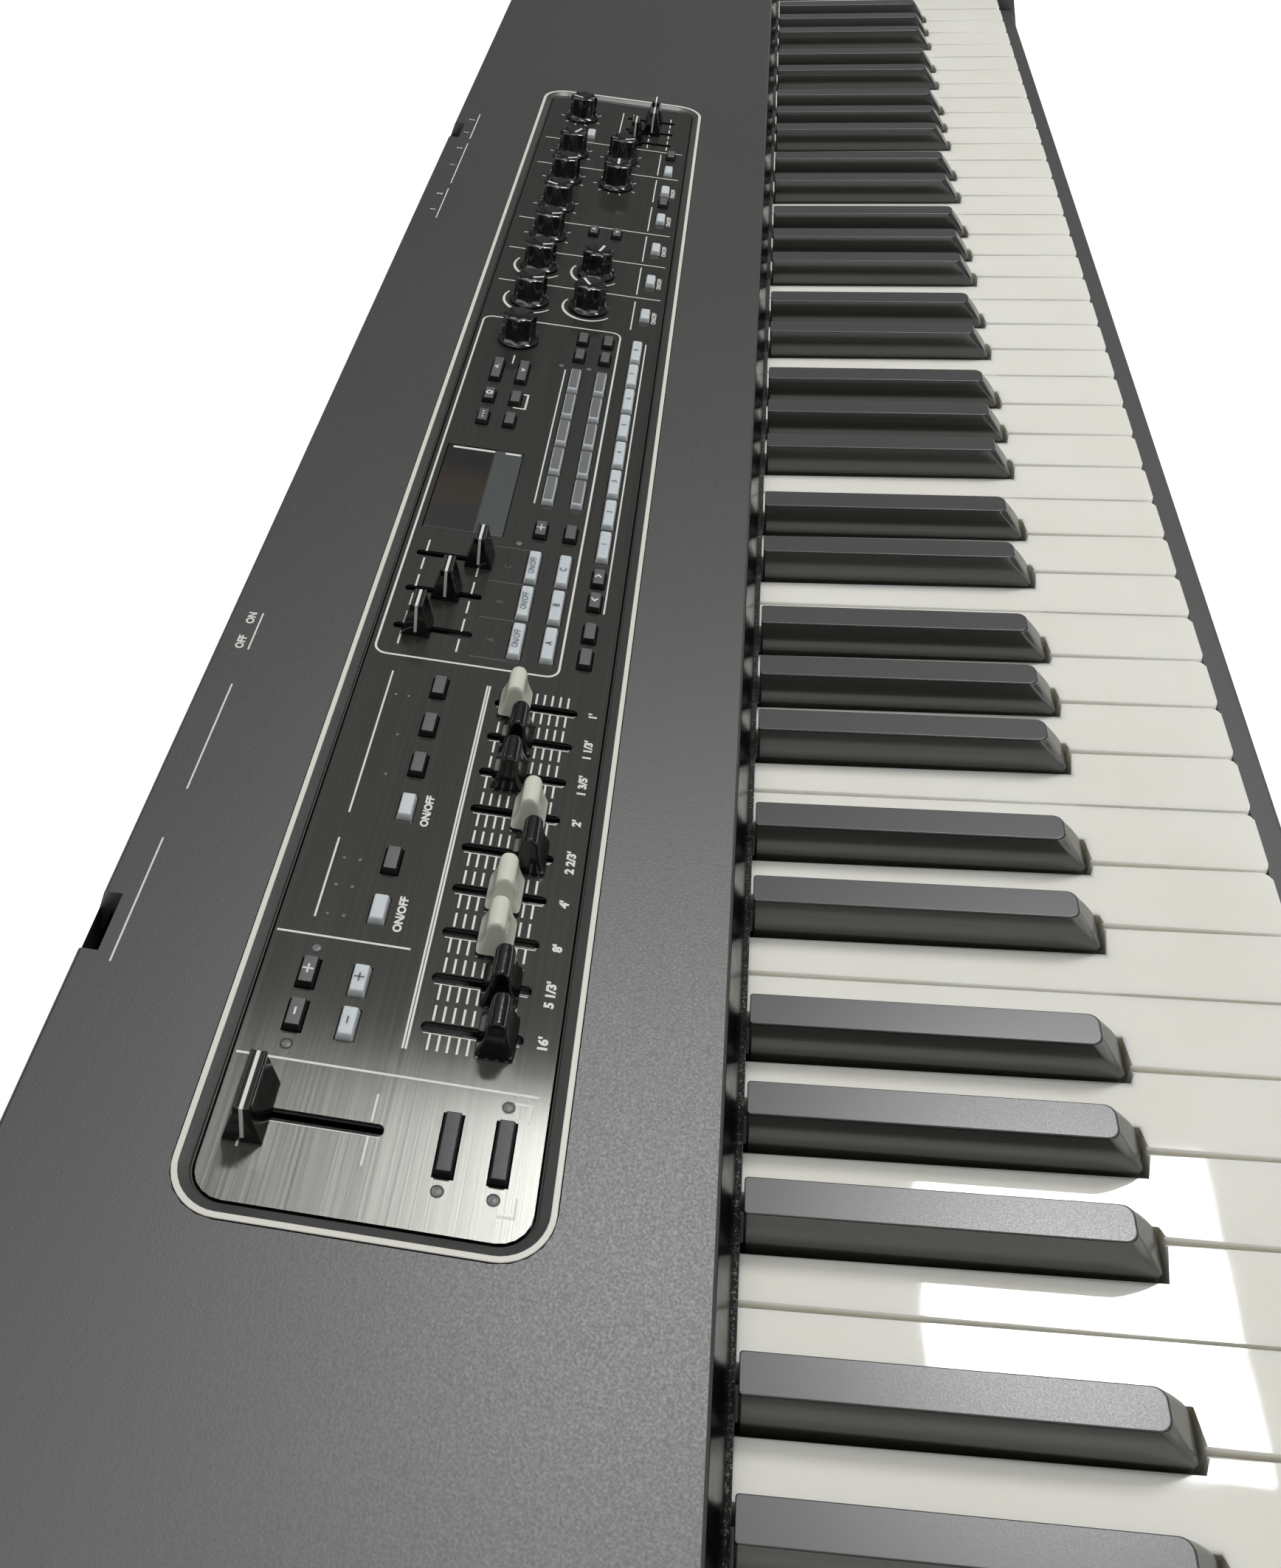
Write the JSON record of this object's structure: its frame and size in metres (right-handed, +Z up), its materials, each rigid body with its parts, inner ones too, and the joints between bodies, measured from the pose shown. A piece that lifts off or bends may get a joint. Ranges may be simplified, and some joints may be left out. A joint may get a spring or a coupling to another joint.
{
  "type": "stage piano",
  "caption": "Full-size stage piano with weighted-style keys, sloped control panel with drawbars, sliders, knobs, buttons and display, bend levers, rear sockets and speakers.",
  "frame": {"origin": "middle of the footprint, on the ground under the feet", "axes": "+X to the treble end, +Y to the rear with the sockets, +Z up; the player sits at -Y"},
  "size_m": [1.333, 0.354, 0.1475],
  "materials": {
    "cover": "fine textured matte dark warm grey",
    "block": "fine textured matte dark grey",
    "bottom": "matte black-grey",
    "jack_plate": "matte black",
    "panel": "dark brushed metal",
    "ring": "cream satin line",
    "display": "dark glossy window",
    "natural": "glossy off-white",
    "sharp": "satin black top with glossy edges",
    "felt": "black felt",
    "frame": "plain sheet steel",
    "board": "green circuit board",
    "black_cap": "satin black",
    "white_cap": "glossy white",
    "knob": "glossy black",
    "pale_button": "translucent bluish white",
    "dark_button": "dark grey",
    "speaker": "matte black"
  },
  "bodies": {
    "case": {"top_cover": "cover", "bottom_case": "bottom", "end_block_left": "block", "end_block_right": "block", "jack_panel": "jack_plate", "control_panel": "panel", "panel_ring": "ring", "display_module": "display", "key_slip": "block", "key_felt": "felt", "key_frame": "frame", "panel_board": "board", "speaker_left": "speaker", "speaker_right": "speaker"},
    "naturals_1": {"naturals_octave_1": "natural"},
    "sharps_1": {"sharps_octave_1": "sharp"},
    "naturals_2": {"naturals_octave_2": "natural"},
    "sharps_2": {"sharps_octave_2": "sharp"},
    "naturals_3": {"naturals_octave_3": "natural"},
    "sharps_3": {"sharps_octave_3": "sharp"},
    "naturals_4": {"naturals_octave_4": "natural"},
    "sharps_4": {"sharps_octave_4": "sharp"},
    "naturals_5": {"naturals_octave_5": "natural"},
    "sharps_5": {"sharps_octave_5": "sharp"},
    "naturals_6": {"naturals_octave_6": "natural"},
    "sharps_6": {"sharps_octave_6": "sharp"},
    "naturals_7": {"naturals_octave_7": "natural"},
    "sharps_7": {"sharps_octave_7": "sharp"},
    "slider_master_volume": {"slider_master_volume": "black_cap"},
    "drawbar_1": {"drawbar_1": "black_cap"},
    "drawbar_2": {"drawbar_2": "black_cap"},
    "drawbar_3": {"drawbar_3": "white_cap"},
    "drawbar_4": {"drawbar_4": "white_cap"},
    "drawbar_5": {"drawbar_5": "black_cap"},
    "drawbar_6": {"drawbar_6": "white_cap"},
    "drawbar_7": {"drawbar_7": "black_cap"},
    "drawbar_8": {"drawbar_8": "black_cap"},
    "drawbar_9": {"drawbar_9": "white_cap"},
    "slider_layer_1": {"slider_layer_1": "black_cap"},
    "slider_layer_2": {"slider_layer_2": "black_cap"},
    "slider_layer_3": {"slider_layer_3": "black_cap"},
    "slider_equaliser_1": {"slider_equaliser_1": "black_cap"},
    "slider_equaliser_2": {"slider_equaliser_2": "black_cap"},
    "slider_equaliser_3": {"slider_equaliser_3": "black_cap"},
    "knob_encoder": {"knob_encoder": "knob"},
    "knob_upper_1": {"knob_upper_1": "knob"},
    "knob_upper_2": {"knob_upper_2": "knob"},
    "knob_upper_3": {"knob_upper_3": "knob"},
    "knob_upper_4": {"knob_upper_4": "knob"},
    "knob_upper_5": {"knob_upper_5": "knob"},
    "knob_upper_6": {"knob_upper_6": "knob"},
    "knob_upper_7": {"knob_upper_7": "knob"},
    "knob_lower_1": {"knob_lower_1": "knob"},
    "knob_lower_2": {"knob_lower_2": "knob"},
    "knob_lower_3": {"knob_lower_3": "knob"},
    "knob_lower_4": {"knob_lower_4": "knob"},
    "lever_pitch_bend": {"lever_pitch_bend": "black_cap"},
    "lever_modulation": {"lever_modulation": "black_cap"},
    "buttons_pale": {"buttons_pale": "pale_button"},
    "buttons_dark": {"buttons_dark": "dark_button"}
  },
  "joints": [
    {"name": "lever_pitch_bend_turn", "type": "hinge", "parent": "case", "child": "lever_pitch_bend", "pos_m": [-0.584, 0.09216, 0.10063], "axis": [1, 0, 0], "range_deg": [-22, 22], "stiffness_Nm_per_rad": 0.12},
    {"name": "lever_modulation_turn", "type": "hinge", "parent": "case", "child": "lever_modulation", "pos_m": [-0.546, 0.09216, 0.10063], "axis": [1, 0, 0], "range_deg": [-22, 22]},
    {"name": "naturals_3_press", "type": "hinge", "parent": "case", "child": "naturals_3", "pos_m": [0, 0.039, 0.081], "axis": [1, 0, 0], "range_deg": [0, 2.9], "stiffness_Nm_per_rad": 8, "springref_deg": -8.59},
    {"name": "sharps_3_press", "type": "hinge", "parent": "case", "child": "sharps_3", "pos_m": [0, 0.051, 0.088], "axis": [1, 0, 0], "range_deg": [0, 3], "stiffness_Nm_per_rad": 4, "springref_deg": -8.59},
    {"name": "naturals_1_press", "type": "hinge", "parent": "case", "child": "naturals_1", "pos_m": [0, 0.039, 0.081], "axis": [1, 0, 0], "range_deg": [0, 2.9], "stiffness_Nm_per_rad": 8, "springref_deg": -8.59},
    {"name": "sharps_1_press", "type": "hinge", "parent": "case", "child": "sharps_1", "pos_m": [0, 0.051, 0.088], "axis": [1, 0, 0], "range_deg": [0, 3], "stiffness_Nm_per_rad": 4, "springref_deg": -8.59},
    {"name": "naturals_7_press", "type": "hinge", "parent": "case", "child": "naturals_7", "pos_m": [0, 0.039, 0.081], "axis": [1, 0, 0], "range_deg": [0, 2.9], "stiffness_Nm_per_rad": 8, "springref_deg": -8.59},
    {"name": "sharps_7_press", "type": "hinge", "parent": "case", "child": "sharps_7", "pos_m": [0, 0.051, 0.088], "axis": [1, 0, 0], "range_deg": [0, 3], "stiffness_Nm_per_rad": 4, "springref_deg": -8.59},
    {"name": "buttons_pale_press", "type": "slide", "parent": "case", "child": "buttons_pale", "axis": [0, 0.1445, -0.9895], "range_m": [0, 0.0008], "stiffness_N_per_m": 1500, "springref_m": -0.001},
    {"name": "buttons_dark_press", "type": "slide", "parent": "case", "child": "buttons_dark", "axis": [0, 0.1445, -0.9895], "range_m": [0, 0.0008], "stiffness_N_per_m": 1500, "springref_m": -0.001},
    {"name": "drawbar_1_slide", "type": "slide", "parent": "case", "child": "drawbar_1", "axis": [0, 0.9895, 0.1445], "range_m": [-0.00353, 0.01607]},
    {"name": "drawbar_9_slide", "type": "slide", "parent": "case", "child": "drawbar_9", "axis": [0, 0.9895, 0.1445], "range_m": [-0.01646, 0.00314]},
    {"name": "slider_master_volume_slide", "type": "slide", "parent": "case", "child": "slider_master_volume", "axis": [0, 0.9895, 0.1445], "range_m": [-0.02842, 0.00118]},
    {"name": "slider_layer_1_slide", "type": "slide", "parent": "case", "child": "slider_layer_1", "axis": [0, 0.9895, 0.1445], "range_m": [-0.0149, 0.0047]},
    {"name": "slider_layer_3_slide", "type": "slide", "parent": "case", "child": "slider_layer_3", "axis": [0, 0.9895, 0.1445], "range_m": [-0.00078, 0.01882]},
    {"name": "slider_equaliser_1_slide", "type": "slide", "parent": "case", "child": "slider_equaliser_1", "axis": [0, 0.9895, 0.1445], "range_m": [-0.01686, 0.00274]},
    {"name": "slider_equaliser_3_slide", "type": "slide", "parent": "case", "child": "slider_equaliser_3", "axis": [0, 0.9895, 0.1445], "range_m": [-0.00843, 0.01117]},
    {"name": "knob_encoder_turn", "type": "hinge", "parent": "case", "child": "knob_encoder", "pos_m": [0.06439, 0.0966, 0.13362], "axis": [0, -0.1445, 0.9895], "continuous": true},
    {"name": "knob_upper_1_turn", "type": "hinge", "parent": "case", "child": "knob_upper_1", "pos_m": [0.10007, 0.0966, 0.13362], "axis": [0, -0.1445, 0.9895], "range_deg": [-150, 150]},
    {"name": "knob_upper_7_turn", "type": "hinge", "parent": "case", "child": "knob_upper_7", "pos_m": [0.31381, 0.0966, 0.13362], "axis": [0, -0.1445, 0.9895], "range_deg": [-150, 150]},
    {"name": "knob_lower_1_turn", "type": "hinge", "parent": "case", "child": "knob_lower_1", "pos_m": [0.10007, 0.0707, 0.12984], "axis": [0, -0.1445, 0.9895], "range_deg": [-150, 150]},
    {"name": "naturals_2_press", "type": "hinge", "parent": "case", "child": "naturals_2", "pos_m": [0, 0.039, 0.081], "axis": [1, 0, 0], "range_deg": [0, 2.9], "stiffness_Nm_per_rad": 8, "springref_deg": -8.59},
    {"name": "sharps_2_press", "type": "hinge", "parent": "case", "child": "sharps_2", "pos_m": [0, 0.051, 0.088], "axis": [1, 0, 0], "range_deg": [0, 3], "stiffness_Nm_per_rad": 4, "springref_deg": -8.59},
    {"name": "naturals_4_press", "type": "hinge", "parent": "case", "child": "naturals_4", "pos_m": [0, 0.039, 0.081], "axis": [1, 0, 0], "range_deg": [0, 2.9], "stiffness_Nm_per_rad": 8, "springref_deg": -8.59},
    {"name": "sharps_4_press", "type": "hinge", "parent": "case", "child": "sharps_4", "pos_m": [0, 0.051, 0.088], "axis": [1, 0, 0], "range_deg": [0, 3], "stiffness_Nm_per_rad": 4, "springref_deg": -8.59},
    {"name": "naturals_5_press", "type": "hinge", "parent": "case", "child": "naturals_5", "pos_m": [0, 0.039, 0.081], "axis": [1, 0, 0], "range_deg": [0, 2.9], "stiffness_Nm_per_rad": 8, "springref_deg": -8.59},
    {"name": "sharps_5_press", "type": "hinge", "parent": "case", "child": "sharps_5", "pos_m": [0, 0.051, 0.088], "axis": [1, 0, 0], "range_deg": [0, 3], "stiffness_Nm_per_rad": 4, "springref_deg": -8.59},
    {"name": "naturals_6_press", "type": "hinge", "parent": "case", "child": "naturals_6", "pos_m": [0, 0.039, 0.081], "axis": [1, 0, 0], "range_deg": [0, 2.9], "stiffness_Nm_per_rad": 8, "springref_deg": -8.59},
    {"name": "sharps_6_press", "type": "hinge", "parent": "case", "child": "sharps_6", "pos_m": [0, 0.051, 0.088], "axis": [1, 0, 0], "range_deg": [0, 3], "stiffness_Nm_per_rad": 4, "springref_deg": -8.59},
    {"name": "drawbar_2_slide", "type": "slide", "parent": "case", "child": "drawbar_2", "axis": [0, 0.9895, 0.1445], "range_m": [-0.0049, 0.0147]},
    {"name": "drawbar_3_slide", "type": "slide", "parent": "case", "child": "drawbar_3", "axis": [0, 0.9895, 0.1445], "range_m": [-0.00843, 0.01117]},
    {"name": "drawbar_4_slide", "type": "slide", "parent": "case", "child": "drawbar_4", "axis": [0, 0.9895, 0.1445], "range_m": [-0.00843, 0.01117]},
    {"name": "drawbar_5_slide", "type": "slide", "parent": "case", "child": "drawbar_5", "axis": [0, 0.9895, 0.1445], "range_m": [-0.00372, 0.01588]},
    {"name": "drawbar_6_slide", "type": "slide", "parent": "case", "child": "drawbar_6", "axis": [0, 0.9895, 0.1445], "range_m": [-0.00588, 0.01372]},
    {"name": "drawbar_7_slide", "type": "slide", "parent": "case", "child": "drawbar_7", "axis": [0, 0.9895, 0.1445], "range_m": [-0.01372, 0.00588]},
    {"name": "drawbar_8_slide", "type": "slide", "parent": "case", "child": "drawbar_8", "axis": [0, 0.9895, 0.1445], "range_m": [-0.01372, 0.00588]},
    {"name": "slider_layer_2_slide", "type": "slide", "parent": "case", "child": "slider_layer_2", "axis": [0, 0.9895, 0.1445], "range_m": [-0.00882, 0.01078]},
    {"name": "slider_equaliser_2_slide", "type": "slide", "parent": "case", "child": "slider_equaliser_2", "axis": [0, 0.9895, 0.1445], "range_m": [-0.00843, 0.01117]},
    {"name": "knob_upper_2_turn", "type": "hinge", "parent": "case", "child": "knob_upper_2", "pos_m": [0.13297, 0.0966, 0.13362], "axis": [0, -0.1445, 0.9895], "range_deg": [-150, 150]},
    {"name": "knob_upper_3_turn", "type": "hinge", "parent": "case", "child": "knob_upper_3", "pos_m": [0.16587, 0.0966, 0.13362], "axis": [0, -0.1445, 0.9895], "range_deg": [-150, 150]},
    {"name": "knob_upper_4_turn", "type": "hinge", "parent": "case", "child": "knob_upper_4", "pos_m": [0.19876, 0.0966, 0.13362], "axis": [0, -0.1445, 0.9895], "range_deg": [-150, 150]},
    {"name": "knob_upper_5_turn", "type": "hinge", "parent": "case", "child": "knob_upper_5", "pos_m": [0.23167, 0.0966, 0.13362], "axis": [0, -0.1445, 0.9895], "range_deg": [-150, 150]},
    {"name": "knob_upper_6_turn", "type": "hinge", "parent": "case", "child": "knob_upper_6", "pos_m": [0.26456, 0.0966, 0.13362], "axis": [0, -0.1445, 0.9895], "range_deg": [-150, 150]},
    {"name": "knob_lower_2_turn", "type": "hinge", "parent": "case", "child": "knob_lower_2", "pos_m": [0.13297, 0.0707, 0.12984], "axis": [0, -0.1445, 0.9895], "range_deg": [-150, 150]},
    {"name": "knob_lower_3_turn", "type": "hinge", "parent": "case", "child": "knob_lower_3", "pos_m": [0.23167, 0.0707, 0.12984], "axis": [0, -0.1445, 0.9895], "range_deg": [-150, 150]},
    {"name": "knob_lower_4_turn", "type": "hinge", "parent": "case", "child": "knob_lower_4", "pos_m": [0.26456, 0.0707, 0.12984], "axis": [0, -0.1445, 0.9895], "range_deg": [-150, 150]}
  ]
}
